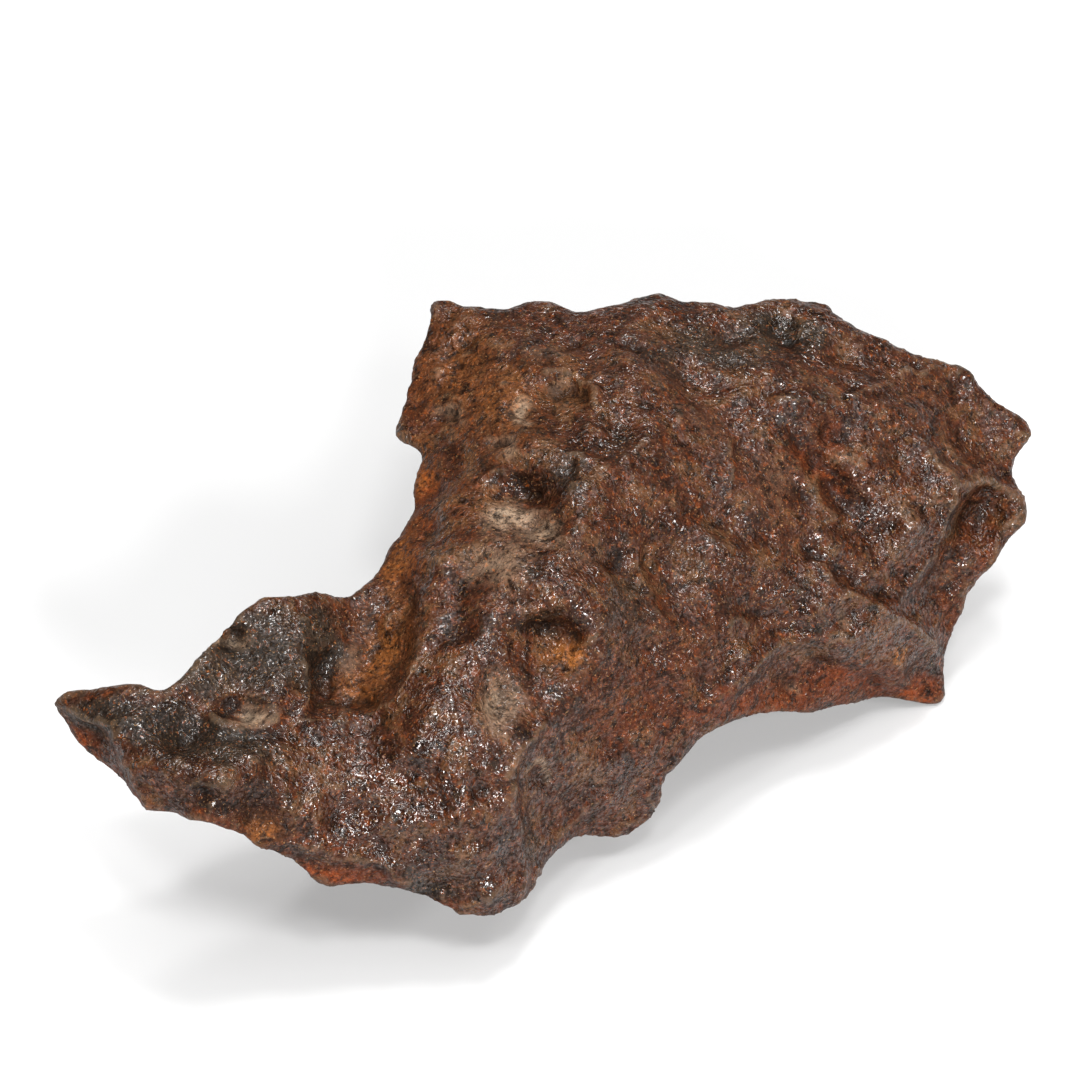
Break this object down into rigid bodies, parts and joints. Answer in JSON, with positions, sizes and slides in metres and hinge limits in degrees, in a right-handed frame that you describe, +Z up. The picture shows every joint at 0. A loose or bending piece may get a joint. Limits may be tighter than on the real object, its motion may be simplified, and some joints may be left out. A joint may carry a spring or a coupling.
{
  "type": "iron meteorite",
  "caption": "Rugged elongated lump of iron meteorite with thumbprint hollows, sharp ridges, a narrow arm at one end and a dark rust-brown skin, for display.",
  "frame": {"origin": "on the ground, under the middle of the lump's overall box", "axes": "+X along the length, from the narrow arm to the broad end; +Z up; the face with the deepest hollows looks towards -Y and up"},
  "size_m": [0.3552, 0.2444, 0.1315],
  "materials": {
    "oxidised_iron": "dark rust-brown oxide skin with a dull metallic glint, rough and finely scaled"
  },
  "bodies": {
    "root": {"meteorite": "oxidised_iron"}
  },
  "joints": []
}
